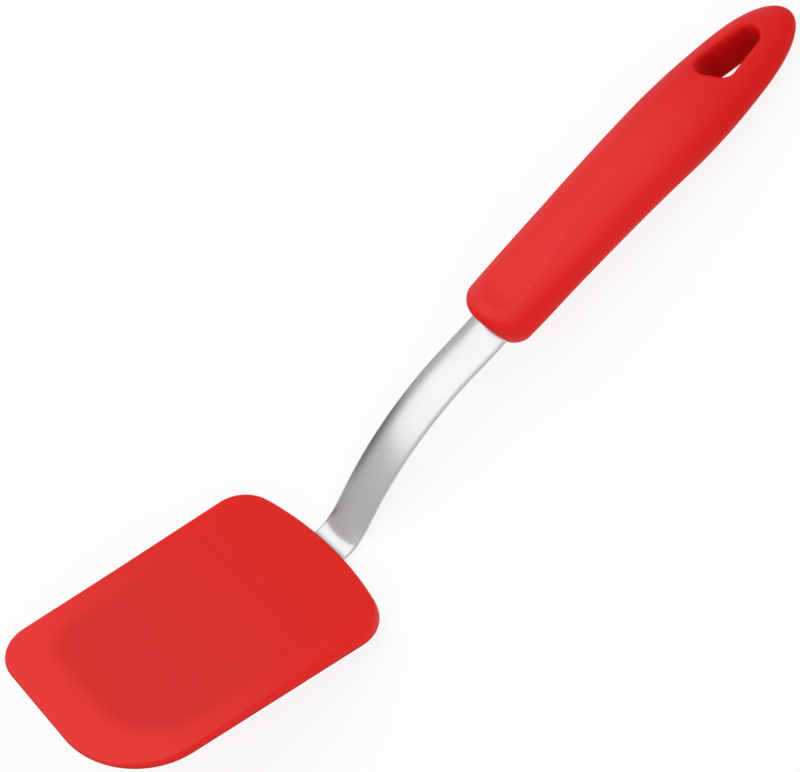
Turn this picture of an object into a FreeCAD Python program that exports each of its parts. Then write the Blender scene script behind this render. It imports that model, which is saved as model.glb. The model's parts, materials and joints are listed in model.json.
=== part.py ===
import FreeCAD, Part
import math
import os

from FreeCAD import Placement, Rotation, Vector

# A turner with a silicone blade, a bent steel strip for a neck and a soft-skinned handle.
# All lengths are millimetres and all angles are degrees.
# The tool is drawn with its blade flat: X runs from the blade to the handle, Y to the left, Z up.
# The middle of the heel, where the strip leaves the blade, is at X 0, and the underside is at Z 0.
# At the end the whole tool is laid down as it rests on a table.

# Outline of the blade from above
blade_length = 97.1
blade_heel_width = 66.4
blade_front_width = 64.3
blade_heel_bow_radius = 100.0
blade_front_slant_angle = 3.8
blade_heel_corner_radius = 12.0
blade_left_corner_radius = 11.5
blade_right_corner_radius = 24.5

# Section of the blade, thick at the heel and thin at the lip
blade_wedge_shares = (-0.08, 0.0, 0.3, 0.6, 0.86, 1.0, 1.08)
blade_wedge_thicknesses = (5.2, 4.9, 3.8, 2.7, 2.3, 1.5, 1.0)
blade_side_inset = 0.8
blade_top_edge_radius = 0.9
blade_bottom_edge_radius = 0.4

# Spring steel plate moulded into the blade
core_thickness = 0.6
core_floor = 0.9
core_side_inset = 7.0
core_front_inset = 13.0
core_heel_inset = 6.5
core_heel_corner_radius = 6.0
core_left_corner_radius = 8.0
core_right_corner_radius = 20.0
core_hole_diameter = 6.0
core_hole_row_shares = (0.28, 0.55, 0.82)
core_hole_column_shares = (-0.3, 0.3)

# Steel strip: foot in the blade, tight bend, rise, wide bend and tang in the handle
strip_width = 13.0
strip_thickness = 1.2
strip_crown_radius = 18.0
foot_length = 36.0
foot_bend_setback = 1.2
foot_bend_radius = 6.5
rise_angle = 55.5
rise_length = 11.7
neck_bend_radius = 93.7
handle_angle = 25.0
handle_run = 10.2
tang_length = 68.2
tang_hole_diameter = 5.0
tang_hole_shares = (0.45, 0.85)

# Where the flat strip takes on its crown: from a share of the tight bend to a share of the rise
crown_bend_share = 0.3
crown_rise_share = 0.45
crown_steps = 8

# Rivets that hold the foot to the plate
rivet_shank_diameter = 3.2
rivet_head_diameter = 6.0
rivet_head_height = 0.7
rivet_tail_height = 0.5
rivet_crown_share = 0.65
rivet_shares = (0.35, 0.8)

# Handle, as oval sections along its length and a round tail
handle_length = 124.4
handle_rise = 1.1
handle_station_shares = (0.0, 0.1, 0.2, 0.3, 0.4, 0.5, 0.6, 0.7, 0.79)
handle_widths = (22.9, 23.9, 24.4, 25.0, 25.6, 26.3, 26.8, 26.2, 23.7)
handle_thicknesses = (17.0, 16.8, 16.8, 17.1, 17.7, 18.1, 18.4, 17.9, 16.6)
handle_arches = (0.0, 0.5, 1.0, 1.4, 1.7, 1.7, 1.4, 1.1, 0.9)
handle_side_share = 0.72
handle_tail_turns = (28.0, 56.0, 78.0)
grip_skin = 2.2

# Front of the handle, bowed forward and leaning forward towards its top
handle_front_middle = 1.0
handle_front_bow_radius = 29.0
handle_front_slant_angle = 5.7
handle_front_radius = 2.5

# Thumb dish on the handle: deepest behind its round nose, it runs out towards the tail, both at stations
dish_deep_share = 0.1
dish_end_share = 0.3
dish_depth = 2.3
dish_radius = 45.0
dish_nose_radius = 8.0
dish_edge_radius = 3.0

# Hang hole through the handle, blunt in front, narrow behind and wider towards the top
hang_front = 94.4
hang_width = 9.4
hang_corner_radius = 3.3
hang_rear = 110.0
hang_rear_radius = 2.3
hang_draft_angle = 8.0
hang_reach_share = 0.7
hang_edge_radius = 1.0

# Overrun of cutting shapes, and the fineness of the points that find the resting pose
overrun = 20.0
rest_fineness = 0.02


def direction(angle):
    """Unit vector in the side view, turned up from X by an angle."""
    return Vector(math.cos(math.radians(angle)), 0, math.sin(math.radians(angle)))


def normal(angle):
    """Unit vector square to a direction in the side view, on its upper side."""
    return direction(angle + 90)


def plan_prism(heel, length, heel_width, front_width, bow_radius, corner_radii, bottom, height):
    """Prism with a bowed heel, straight sides, a slanted front and four rounded corners."""
    heel_half = heel_width / 2
    front_half = front_width / 2
    bow = bow_radius - math.sqrt(bow_radius ** 2 - heel_half ** 2)
    slant = front_half * math.tan(math.radians(blade_front_slant_angle))
    heel_left = Vector(heel - bow, heel_half, bottom)
    heel_middle = Vector(heel, 0, bottom)
    heel_right = Vector(heel - bow, -heel_half, bottom)
    front_left = Vector(heel - length + slant, front_half, bottom)
    front_right = Vector(heel - length - slant, -front_half, bottom)
    outline = Part.Wire([
        Part.Arc(heel_right, heel_middle, heel_left).toShape(),
        Part.makeLine(heel_left, front_left),
        Part.makeLine(front_left, front_right),
        Part.makeLine(front_right, heel_right),
    ])
    prism = Part.Face(outline).extrude(Vector(0, 0, height))
    for corner, radius in zip((heel_left, heel_right, front_left, front_right), corner_radii):
        prism = prism.makeFillet(radius, [upright_edge(prism, corner, height)])
    return prism


def upright_edge(prism, corner, height):
    """The edge of a prism that stands on a corner."""
    middle = corner + Vector(0, 0, height / 2)
    return min(prism.Edges, key=lambda edge: edge.CenterOfMass.distanceToPoint(middle))


def lowest_face(solid):
    """The face of a solid whose middle is lowest."""
    return min(solid.Faces, key=lambda face: face.CenterOfMass.z)


def blade_body():
    """Whole blade before anything is set into it: drafted sides under a wedge-shaped top."""
    height = max(blade_wedge_thicknesses)
    corner_radii = (
        blade_heel_corner_radius,
        blade_heel_corner_radius,
        blade_left_corner_radius,
        blade_right_corner_radius,
    )
    prism = plan_prism(
        0, blade_length, blade_heel_width, blade_front_width,
        blade_heel_bow_radius, corner_radii, 0, height,
    )
    outline = lowest_face(prism).OuterWire
    rim = outline.makeOffset2D(-blade_side_inset)
    rim.translate(Vector(0, 0, height))
    body = Part.makeLoft([outline, rim], True, True)
    body = body.cut(wedge_cutter())
    top = sorted(body.Faces, key=lambda face: face.Area)[-2]
    body = body.makeFillet(blade_top_edge_radius, top.OuterWire.Edges)
    return body.makeFillet(blade_bottom_edge_radius, lowest_face(body).OuterWire.Edges)


def wedge_cutter():
    """Space above the blade's top, bounded below by a smooth curve from heel to lip."""
    points = [
        Vector(-share * blade_length, -blade_heel_width, thickness)
        for share, thickness in zip(blade_wedge_shares, blade_wedge_thicknesses)
    ]
    top = Part.BSplineCurve()
    top.interpolate(points)
    ceiling = max(blade_wedge_thicknesses) + overrun
    heel_ceiling = Vector(points[0].x, points[0].y, ceiling)
    front_ceiling = Vector(points[-1].x, points[-1].y, ceiling)
    side = Part.Wire([
        top.toShape(),
        Part.makeLine(points[-1], front_ceiling),
        Part.makeLine(front_ceiling, heel_ceiling),
        Part.makeLine(heel_ceiling, points[0]),
    ])
    return Part.Face(side).extrude(Vector(0, 2 * blade_heel_width, 0))


def core_plate():
    """Thin plate inside the blade, pierced so that the silicone locks through it."""
    length = blade_length - core_heel_inset - core_front_inset
    heel_width = blade_heel_width - 2 * core_side_inset
    front_width = blade_front_width - 2 * core_side_inset
    corner_radii = (
        core_heel_corner_radius,
        core_heel_corner_radius,
        core_left_corner_radius,
        core_right_corner_radius,
    )
    plate = plan_prism(
        -core_heel_inset, length, heel_width, front_width,
        blade_heel_bow_radius, corner_radii, core_floor, core_thickness,
    )
    for row_share in core_hole_row_shares:
        for column_share in core_hole_column_shares:
            place = Vector(-core_heel_inset - row_share * length, column_share * heel_width, core_floor)
            plate = plate.cut(Part.makeCylinder(core_hole_diameter / 2, core_thickness, place))
    return plate


def foot_middle():
    """Height of the middle of the strip's thickness at the foot, which lies on the plate."""
    return core_floor + core_thickness + strip_thickness / 2


def rivet_places():
    """Points on the top of the foot where the rivets go through it."""
    top = foot_middle() + strip_thickness / 2
    return [Vector(-share * foot_length, 0, top) for share in rivet_shares]


def rivets():
    """The rivets that hold foot and plate together."""
    return Part.makeCompound([rivet(place) for place in rivet_places()])


def rivet(place):
    """One rivet: tapered head on the foot, shank through foot and plate, flat tail under the plate."""
    grip = strip_thickness + core_thickness
    head_radius = rivet_head_diameter / 2
    head = Part.makeCone(head_radius, rivet_crown_share * head_radius, rivet_head_height, place)
    shank = Part.makeCylinder(rivet_shank_diameter / 2, grip, place - Vector(0, 0, grip))
    tail_end = place - Vector(0, 0, grip + rivet_tail_height)
    tail = Part.makeCylinder(head_radius, rivet_tail_height, tail_end)
    return head.multiFuse([shank, tail])


def rivet_hole(place):
    """Hole through foot and plate that one rivet's shank fills."""
    depth = strip_thickness + core_thickness
    return Part.makeCylinder(rivet_shank_diameter / 2, depth, place - Vector(0, 0, depth))


def strip_section(point, angle, crown):
    """Face across the strip at a point of its middle line, with round edges and a share of the crown."""
    half = strip_thickness / 2
    reach = strip_width / 2 - half
    bow = crown / strip_crown_radius
    turn = reach * bow

    def at(side, level, past):
        """Point of the section: side of the strip, level off the middle line, distance past the edge."""
        if crown == 0:
            return point + Vector(0, side * (reach + past), 0) + normal(angle) * level
        radius = 1 / bow + level
        across = radius * math.sin(turn) + past * math.cos(turn)
        up = radius * math.cos(turn) - past * math.sin(turn) - 1 / bow
        return point + Vector(0, side * across, 0) + normal(angle) * up

    def edge_arcs(side):
        """Two quarter turns round one edge, from the top face to the bottom face."""
        slope = half * math.sqrt(0.5)
        upper = Part.Arc(at(side, half, 0), at(side, slope, slope), at(side, 0, half))
        lower = Part.Arc(at(side, 0, half), at(side, -slope, slope), at(side, -half, 0))
        return [upper.toShape(), lower.toShape()]

    def broad_face(level):
        """The top or bottom face of the strip, from the left edge to the right one."""
        if crown == 0:
            return Part.makeLine(at(1, level, 0), at(-1, level, 0))
        middle = point + normal(angle) * level
        return Part.Arc(at(1, level, 0), middle, at(-1, level, 0)).toShape()

    edges = [broad_face(half)] + edge_arcs(-1) + [broad_face(-half)] + edge_arcs(1)
    return Part.Face(Part.Wire(Part.__sortEdges__(edges)))


def neck_points():
    """Points of the strip's middle line, and the centres of its two bends."""
    bend_start = Vector(-foot_bend_setback, 0, foot_middle())
    bend_centre = bend_start + Vector(0, 0, foot_bend_radius)
    rise_start = bend_centre - normal(rise_angle) * foot_bend_radius
    rise_end = rise_start + direction(rise_angle) * rise_length
    neck_centre = rise_end - normal(rise_angle) * neck_bend_radius
    neck_end = neck_centre + normal(handle_angle) * neck_bend_radius
    tang_start = neck_end + direction(handle_angle) * handle_run
    return {
        "bend_start": bend_start,
        "bend_centre": bend_centre,
        "rise_start": rise_start,
        "rise_end": rise_end,
        "neck_centre": neck_centre,
        "neck_end": neck_end,
        "tang_start": tang_start,
    }


def crowning_sections():
    """Sections of the strip where it takes on its crown, evenly spaced from the tight bend into the rise."""
    at = neck_points()
    bend_length = (1 - crown_bend_share) * foot_bend_radius * math.radians(rise_angle)
    length = bend_length + crown_rise_share * rise_length
    sections = []
    for step in range(crown_steps + 1):
        share = step / crown_steps
        past_bend = share * length - bend_length
        if past_bend > 0:
            angle = rise_angle
            point = at["rise_start"] + direction(rise_angle) * past_bend
        else:
            angle = rise_angle + math.degrees(past_bend / foot_bend_radius)
            point = at["bend_centre"] - normal(angle) * foot_bend_radius
        crown = share ** 2 * (3 - 2 * share)
        sections.append(strip_section(point, angle, crown).OuterWire)
    return sections


def neck_strip():
    """Bent strip: flat foot, tight bend where it takes on a crown, rise, wide bend and crowned tang."""
    at = neck_points()
    across = Vector(0, 1, 0)
    foot_end = Vector(-foot_length, 0, foot_middle())
    foot = strip_section(foot_end, 0, 0).extrude(at["bend_start"] - foot_end)
    flat_turn = crown_bend_share * rise_angle
    bend = strip_section(at["bend_start"], 0, 0).revolve(at["bend_centre"], -across, flat_turn)
    crowning = Part.makeLoft(crowning_sections(), True, False)
    crown_full = at["rise_start"] + direction(rise_angle) * (crown_rise_share * rise_length)
    rise = strip_section(crown_full, rise_angle, 1).extrude(at["rise_end"] - crown_full)
    crowned = strip_section(at["rise_end"], rise_angle, 1)
    neck = crowned.revolve(at["neck_centre"], across, rise_angle - handle_angle)
    crowned = strip_section(at["neck_end"], handle_angle, 1)
    tang = crowned.extrude(direction(handle_angle) * (handle_run + tang_length))
    strip = foot.multiFuse([bend, crowning, rise, neck, tang])
    for place in rivet_places():
        strip = strip.cut(rivet_hole(place))
    for share in tang_hole_shares:
        middle = at["tang_start"] + direction(handle_angle) * (share * tang_length)
        across = normal(handle_angle)
        hole = Part.makeCylinder(tang_hole_diameter / 2, 2 * overrun, middle - across * overrun, across)
        strip = strip.cut(hole)
    return strip


def oval(station, width, thickness, lift):
    """Oval section of the handle, four arcs that meet smoothly, square to the handle's own X axis."""
    half_width = width / 2
    half = thickness / 2
    side_radius = handle_side_share * half
    side_centre = half_width - side_radius
    broad_radius = (side_centre ** 2 + half ** 2 - side_radius ** 2) / (2 * (half - side_radius))
    join_turn = math.atan2(side_centre, broad_radius - half)
    join_y = broad_radius * math.sin(join_turn)
    join_z = broad_radius * math.cos(join_turn) - (broad_radius - half)

    def at(y, z):
        return Vector(station, y, lift + z)

    return Part.Wire([
        Part.Arc(at(-join_y, join_z), at(0, half), at(join_y, join_z)).toShape(),
        Part.Arc(at(join_y, join_z), at(half_width, 0), at(join_y, -join_z)).toShape(),
        Part.Arc(at(join_y, -join_z), at(0, -half), at(-join_y, -join_z)).toShape(),
        Part.Arc(at(-join_y, -join_z), at(-half_width, 0), at(-join_y, join_z)).toShape(),
    ])


def handle_loft(inset):
    """Handle's form along its own X axis, drawn in by an inset all round."""
    length = handle_length - 2 * inset
    sections = []
    for share, width, thickness, arch in zip(
        handle_station_shares, handle_widths, handle_thicknesses, handle_arches,
    ):
        sections.append(oval(
            inset + share * length, width - 2 * inset, thickness - 2 * inset, handle_rise + arch,
        ))
    tail_start = inset + handle_station_shares[-1] * length
    tail_length = (1 - handle_station_shares[-1]) * length
    tail_width = handle_widths[-1] - 2 * inset
    tail_thickness = handle_thicknesses[-1] - 2 * inset
    for turn in handle_tail_turns:
        reach = math.sin(math.radians(turn))
        left = math.cos(math.radians(turn))
        lift = handle_rise + handle_arches[-1] * left
        station = tail_start + reach * tail_length
        sections.append(oval(station, left * tail_width, left * tail_thickness, lift))
    tip = Part.Vertex(Vector(inset + length, 0, handle_rise))
    return Part.makeLoft(sections + [tip], True, False)


def front_cutter(inset):
    """Space in front of the handle: a block less a leaning cylinder, set back by an inset."""
    slant = math.radians(handle_front_slant_angle)
    axis = Vector(-math.sin(slant), 0, math.cos(slant))
    middle = Vector(handle_front_middle + inset + handle_front_bow_radius, 0, handle_rise)
    cylinder = Part.makeCylinder(handle_front_bow_radius, 4 * overrun, middle - axis * (2 * overrun), axis)
    length = overrun + handle_front_bow_radius / 2
    block = Part.makeBox(length, 2 * overrun, 2 * overrun, Vector(-overrun, -overrun, -overrun))
    return block.cut(cylinder)


def handle_crest(share):
    """Point on the top of the handle at one of its stations."""
    station = handle_station_shares.index(share)
    height = handle_rise + handle_arches[station] + handle_thicknesses[station] / 2
    return Vector(share * handle_length, 0, height)


def dish_cutter(inset):
    """Leaning cylinder with a rounded nose that hollows the thumb dish, grown by an inset."""
    deepest = handle_crest(dish_deep_share) - Vector(0, 0, dish_depth)
    run = handle_crest(dish_end_share) - deepest
    lean = math.degrees(math.atan2(run.z, run.x))
    nose_radius = dish_nose_radius + inset
    nose = deepest + normal(lean) * dish_radius - direction(lean) * nose_radius
    cylinder = Part.makeCylinder(dish_radius + inset, handle_length, nose, direction(lean))
    nose_edge = min(cylinder.Edges, key=lambda edge: edge.CenterOfMass.distanceToPoint(nose))
    return cylinder.makeFillet(nose_radius, [nose_edge])


def dish_rim(form):
    """Edges round the hollow that the dish cutter leaves."""
    hollow = [face for face in form.Faces if is_dish(face)]
    edges = [edge for face in hollow for edge in face.Edges]
    return [edge for edge in edges if sum(edge.isSame(other) for other in edges) == 1]


def is_dish(face):
    """True for a face that the dish cutter leaves: its floor or its nose."""
    surface = face.Surface
    if isinstance(surface, Part.Cylinder):
        return abs(surface.Radius - dish_radius) < rest_fineness
    if isinstance(surface, Part.Toroid):
        return abs(surface.MinorRadius - dish_nose_radius) < rest_fineness
    return False


def hang_outline(growth, level):
    """Outline of the hang hole at a level: straight lines round two front rounds and a rear one."""
    corner_x = hang_front + hang_corner_radius
    corner_y = hang_width / 2 - hang_corner_radius
    corner = hang_corner_radius + growth
    rear = hang_rear_radius + growth
    span = math.hypot(hang_rear - corner_x, corner_y)
    touch = math.acos((corner - rear) / span) - math.atan2(corner_y, hang_rear - corner_x)

    def on_corner(side, turn):
        """Point of a front corner round, turned from the handle's axis."""
        across = corner_y + corner * math.sin(turn)
        return Vector(corner_x + corner * math.cos(turn), side * across, level)

    def on_rear(side, turn):
        """Point of the rear round, turned from the handle's axis."""
        return Vector(hang_rear + rear * math.cos(turn), side * rear * math.sin(turn), level)

    def corner_arc(side):
        """Round between the straight front and one straight side."""
        middle = on_corner(side, (touch + math.pi) / 2)
        return Part.Arc(on_corner(side, math.pi), middle, on_corner(side, touch)).toShape()

    return Part.Wire([
        Part.makeLine(on_corner(-1, math.pi), on_corner(1, math.pi)),
        corner_arc(1),
        Part.makeLine(on_corner(1, touch), on_rear(1, touch)),
        Part.Arc(on_rear(1, touch), on_rear(1, 0), on_rear(-1, touch)).toShape(),
        Part.makeLine(on_rear(-1, touch), on_corner(-1, touch)),
        corner_arc(-1),
    ])


def hang_reach():
    """How far the hang hole's cutter goes above and below the handle's middle."""
    return hang_reach_share * max(handle_thicknesses)


def hang_flare():
    """How much the hang hole's cutter widens on each side from the handle's middle to its top."""
    return hang_reach() * math.tan(math.radians(hang_draft_angle))


def hang_cutter(growth):
    """Tapered cutter of the hang hole, grown all round."""
    middle = handle_rise + handle_arches[-1]
    lower = hang_outline(growth - hang_flare(), middle - hang_reach())
    upper = hang_outline(growth + hang_flare(), middle + hang_reach())
    return Part.makeLoft([lower, upper], True, True)


def hang_rims(form):
    """Edges where the hang hole breaks through the handle's top and underside."""
    front = hang_front - hang_flare()
    rear = hang_rear + hang_rear_radius + hang_flare()
    side = hang_width / 2 + hang_flare()
    rims = []
    for edge in form.Edges:
        box = edge.BoundBox
        inside = box.XMin > front and box.XMax < rear and box.YMin > -side and box.YMax < side
        upright = box.ZLength > box.XLength + box.YLength
        if inside and not upright:
            rims.append(edge)
    return rims


def handle_form():
    """Outside of the handle in its own frame, with bowed front, dish, hang hole and rounded edges."""
    form = handle_loft(0).cut(front_cutter(0))
    front = min(form.Faces, key=lambda face: face.CenterOfMass.x)
    form = form.makeFillet(handle_front_radius, front.OuterWire.Edges)
    form = form.cut(dish_cutter(0))
    form = form.makeFillet(dish_edge_radius, dish_rim(form))
    form = form.cut(hang_cutter(0))
    return form.makeFillet(hang_edge_radius, hang_rims(form))


def place_handle(shape):
    """Moves a shape from the handle's own frame to the end of the neck."""
    shape.Placement = Placement(neck_points()["tang_start"], Rotation(Vector(0, -1, 0), handle_angle))
    return shape


def handle_inside():
    """Rigid inner moulding before the tang is set into it, with room for the skin round the hang hole."""
    inside = handle_loft(grip_skin).cut(front_cutter(grip_skin))
    inside = inside.cut(dish_cutter(grip_skin))
    return inside.cut(hang_cutter(grip_skin))


def build_pieces():
    """All pieces in the drawing frame, each cut by what is set into it."""
    plate = core_plate()
    strip = neck_strip()
    fasteners = rivets()
    for place in rivet_places():
        plate = plate.cut(rivet_hole(place))
    cover = blade_body().cut([core_plate(), strip, fasteners])
    inside = place_handle(handle_inside())
    skin = place_handle(handle_form()).cut([inside, strip])
    return {
        "blade_cover": cover,
        "blade_core": plate,
        "core_rivets": fasteners,
        "neck_strip": strip,
        "handle_core": inside.cut(strip),
        "handle_grip": skin,
    }


def surface_points(shape):
    """Points all over a shape's surface."""
    return shape.tessellate(rest_fineness)[0]


def resting_tilt(blade_points, handle_points):
    """Angle by which the blade's front is raised when heel and handle both touch the table."""
    low = 0.0
    high = 60.0
    for step in range(50):
        tilt = (low + high) / 2
        up = normal(tilt)
        blade_low = min(point.dot(up) for point in blade_points)
        handle_low = min(point.dot(up) for point in handle_points)
        if blade_low < handle_low:
            low = tilt
        else:
            high = tilt
    return (low + high) / 2


def lay_down(pieces):
    """Turns the tool to its resting pose, with the table at Z 0 and the box's middle over the origin."""
    blade_points = surface_points(pieces["blade_cover"])
    handle_points = surface_points(pieces["handle_grip"])
    tilt = resting_tilt(blade_points, handle_points)
    turn = Rotation(Vector(0, 1, 0), tilt)
    points = [turn.multVec(point) for point in blade_points + handle_points]
    middle_x = (min(point.x for point in points) + max(point.x for point in points)) / 2
    middle_y = (min(point.y for point in points) + max(point.y for point in points)) / 2
    floor = min(point.z for point in points)
    move = Placement(Vector(-middle_x, -middle_y, -floor), turn)
    print("blade tilt at rest", round(tilt, 3), "drawing origin lands at", move.Base)
    return {name: moved(shape, move) for name, shape in pieces.items()}


def moved(shape, move):
    """A copy of a shape in its new place."""
    shape = shape.copy()
    shape.Placement = move.multiply(shape.Placement)
    return shape


def write_parts():
    """One STEP file for each piece."""
    os.makedirs("parts", exist_ok=True)
    for name, shape in lay_down(build_pieces()).items():
        print(name, "solids", len(shape.Solids), "volume", round(shape.Volume, 1), "valid", shape.isValid())
        shape.exportStep(f"parts/{name}.step")


write_parts()
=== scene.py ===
# %% [markdown]
# # A silicone turner
# This lesson dresses the CAD model of a kitchen turner: a red silicone blade, a bent strip of satin
# steel for a neck, and a handle with a soft red skin. The CAD model is loaded first and stays as it is.
# Every piece made here is in metres, in the CAD model's own frame, so nothing has to be fitted by eye.

import json
import math

import bmesh
import bpy
import numpy as np
from mathutils import Matrix, Vector


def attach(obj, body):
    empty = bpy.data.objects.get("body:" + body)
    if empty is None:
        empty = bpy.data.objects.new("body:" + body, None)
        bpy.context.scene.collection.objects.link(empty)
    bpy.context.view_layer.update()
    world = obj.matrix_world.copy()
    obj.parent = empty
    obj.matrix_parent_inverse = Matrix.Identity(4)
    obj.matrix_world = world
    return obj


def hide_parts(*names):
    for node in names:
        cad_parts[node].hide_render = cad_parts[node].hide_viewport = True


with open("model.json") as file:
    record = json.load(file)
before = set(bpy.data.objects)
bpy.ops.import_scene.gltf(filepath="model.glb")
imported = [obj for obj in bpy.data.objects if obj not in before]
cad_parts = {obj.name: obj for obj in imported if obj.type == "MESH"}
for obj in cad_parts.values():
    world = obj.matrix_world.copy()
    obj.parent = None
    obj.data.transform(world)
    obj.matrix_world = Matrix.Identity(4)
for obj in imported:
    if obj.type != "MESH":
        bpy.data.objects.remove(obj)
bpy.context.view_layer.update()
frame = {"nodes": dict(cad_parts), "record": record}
nodes = frame["nodes"]
millimetres = 1000


def in_mm(lengths):
    """Lengths in millimetres, rounded for printing."""
    return [round(millimetres * float(length), 1) for length in lengths]


print("CAD nodes:", ", ".join(sorted(nodes)))

# %% [markdown]
# The tool lies on a table: it touches it with the heel of the blade and with the underside of the
# handle, so the blade is tilted. A tilted blade is hard to draw, so every piece is drawn in a frame of
# its own, where the blade is flat, X runs from the blade to the handle and the heel is at zero. The
# record's mount on the blade's underside gives the tilt, and one matrix lays each finished piece down
# on the table.

# %% The drawing frame of the flat blade
underside = next(mount for mount in frame["record"]["mounts"] if mount["name"] == "blade_underside")
underside_from_heel = 0.050


def frame_at(place, x_way, y_way, z_way):
    """Matrix that carries the origin to a place and turns X, Y and Z into three directions."""
    return Matrix.Translation(place) @ Matrix((x_way, y_way, z_way)).transposed().to_4x4()


blade_up = -Vector(underside["axis"]).normalized()
blade_across = Vector((0, 1, 0))
blade_along = blade_across.cross(blade_up)
heel = Vector(underside["pos_m"]) + underside_from_heel * blade_along
lay_down = frame_at(heel, blade_along, blade_across, blade_up)
print("blade tilt:", round(math.degrees(math.atan2(blade_up.x, blade_up.z)), 2), "degrees")

# %% [markdown]
# The camera stands where the photograph was taken from: in front of the tool and high above it, turned
# about its own axis so that the tool lies across the picture from corner to corner. A long lens keeps
# the sides of the blade almost parallel. The place could be found by eye, but holding the heel on its
# own pixel fixes it exactly.

# %% Camera
image_width = 800
image_height = 772
focal_pixels = 4260.0
heel_pixel = (328.5, 544.3)
heel_crest = Vector((-0.0006, 0, 0.0031))
camera_azimuth = math.radians(1.30)
camera_elevation = math.radians(57.56)
camera_roll = math.radians(49.90)
camera_depth = 1.2
sensor_width = 36.0


def new_object(name, data):
    """A new object in the scene that holds a mesh, a curve, a lamp or a camera."""
    piece = bpy.data.objects.new(name, data)
    bpy.context.scene.collection.objects.link(piece)
    return piece


view_back = Vector((
    math.sin(camera_azimuth) * math.cos(camera_elevation),
    -math.cos(camera_azimuth) * math.cos(camera_elevation),
    math.sin(camera_elevation),
))
level_right = Vector((math.cos(camera_azimuth), math.sin(camera_azimuth), 0))
level_up = view_back.cross(level_right)
view_right = math.cos(camera_roll) * level_right - math.sin(camera_roll) * level_up
view_up = math.sin(camera_roll) * level_right + math.cos(camera_roll) * level_up

camera_place = lay_down @ heel_crest + camera_depth * view_back
camera_place -= (heel_pixel[0] - image_width / 2) / focal_pixels * camera_depth * view_right
camera_place += (heel_pixel[1] - image_height / 2) / focal_pixels * camera_depth * view_up

camera_data = bpy.data.cameras.new("photo_camera")
camera_data.sensor_fit = "HORIZONTAL"
camera_data.sensor_width = sensor_width
camera_data.lens = sensor_width * focal_pixels / image_width
camera = new_object("photo_camera", camera_data)
camera.matrix_world = frame_at(camera_place, view_right, view_up, view_back)
bpy.context.scene.camera = camera
print("camera at", in_mm(camera_place), "mm, lens", round(camera_data.lens, 1), "mm")

# %% [markdown]
# Materials, the room and Geometry Nodes are all node trees. They could be clicked together by hand, but
# a script can be read and run again. A few small helpers keep it short. One starts a material, one adds
# any node, sets its inputs and joins it to the nodes before it, and one does a sum on two numbers.

# %% Helpers for node trees
def start_material(name):
    """A new material with one Principled shader, returned with its tree and shader."""
    material = bpy.data.materials.new(name)
    material.use_nodes = True
    return material, material.node_tree, material.node_tree.nodes["Principled BSDF"]


def add_node(tree, kind, inputs=None, **settings):
    """Adds a node; an input is given a value, or the output socket that feeds it."""
    node = tree.nodes.new(kind)
    for setting, value in settings.items():
        setattr(node, setting, value)
    for socket, value in (inputs or {}).items():
        if isinstance(value, bpy.types.NodeSocket):
            tree.links.new(value, node.inputs[socket])
        else:
            node.inputs[socket].default_value = value
    return node


def reckon(tree, operation, first, second):
    """Output of a Math node on two numbers."""
    return add_node(tree, "ShaderNodeMath", {0: first, 1: second}, operation=operation).outputs[0]


# %% [markdown]
# The stage is a wide pale floor. More light would turn it white but wash out the tool, so the floor
# glows by itself instead: to the camera, and to the steel that mirrors it, it shows mostly as plain
# white. Enough of its lit surface is mixed in to keep the tool's soft shadow.

# %% Floor
floor_half = 4.0
floor_colour = (0.88, 0.88, 0.88, 1)
floor_roughness = 0.9
floor_gloss = 0.1
floor_shade_share = 0.14
white_colour = (1, 1, 1, 1)

floor_mesh = bpy.data.meshes.new("floor")
floor_corners = [(floor_half * x, floor_half * y, 0) for x, y in ((-1, -1), (1, -1), (1, 1), (-1, 1))]
floor_mesh.from_pydata(floor_corners, [], [range(len(floor_corners))])
floor = new_object("floor", floor_mesh)

floor_material, tree, shader = start_material("pale_floor")
shader.inputs["Base Color"].default_value = floor_colour
shader.inputs["Roughness"].default_value = floor_roughness
shader.inputs["Specular IOR Level"].default_value = floor_gloss
rays = add_node(tree, "ShaderNodeLightPath").outputs
seen = reckon(tree, "MAXIMUM", rays["Is Camera Ray"], rays["Is Glossy Ray"])
seen = reckon(tree, "MAXIMUM", seen, rays["Is Transmission Ray"])
white_share = reckon(tree, "MULTIPLY", seen, 1 - floor_shade_share)
white = add_node(tree, "ShaderNodeEmission", {"Color": white_colour, "Strength": 1.0})
mixed = add_node(tree, "ShaderNodeMixShader", {0: white_share, 1: shader.outputs[0], 2: white.outputs[0]})
tree.links.new(mixed.outputs[0], tree.nodes["Material Output"].inputs["Surface"])
floor_mesh.materials.append(floor_material)
print("floor:", 2 * floor_half, "m wide, with", floor_shade_share, "of its shading kept")

# %% [markdown]
# The lamps are a long softbox above the tool that reaches far back, and a wide fill light in front. The
# softbox shows as the white sheet along the middle of the steel neck, and the fill lights the side of
# the handle that faces the camera. A sun lamp would do neither: steel shows what it mirrors, so its
# lamps need a size and a shape.

# %% Lamps
softbox_centre = (-0.01, 0.58, 1.1)
softbox_target = (-0.01, 0.58, 0.0)
softbox_size = (1.14, 1.56)
softbox_radiance = 0.85
fill_centre = (0.1, -0.9, 1.0)
fill_target = (0.0, 0.0, 0.0)
fill_size = (1.6, 0.8)
fill_radiance = 0.5


def panel_light(name, centre, target, size, radiance):
    """A rectangular lamp of a given size and brightness, turned towards a target."""
    data = bpy.data.lights.new(name, "AREA")
    data.shape = "RECTANGLE"
    data.size = size[0]
    data.size_y = size[1]
    data.energy = radiance * math.pi * size[0] * size[1]
    lamp = new_object(name, data)
    lamp.location = centre
    lamp.rotation_euler = (Vector(target) - Vector(centre)).to_track_quat("-Z", "Y").to_euler()
    return lamp


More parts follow.
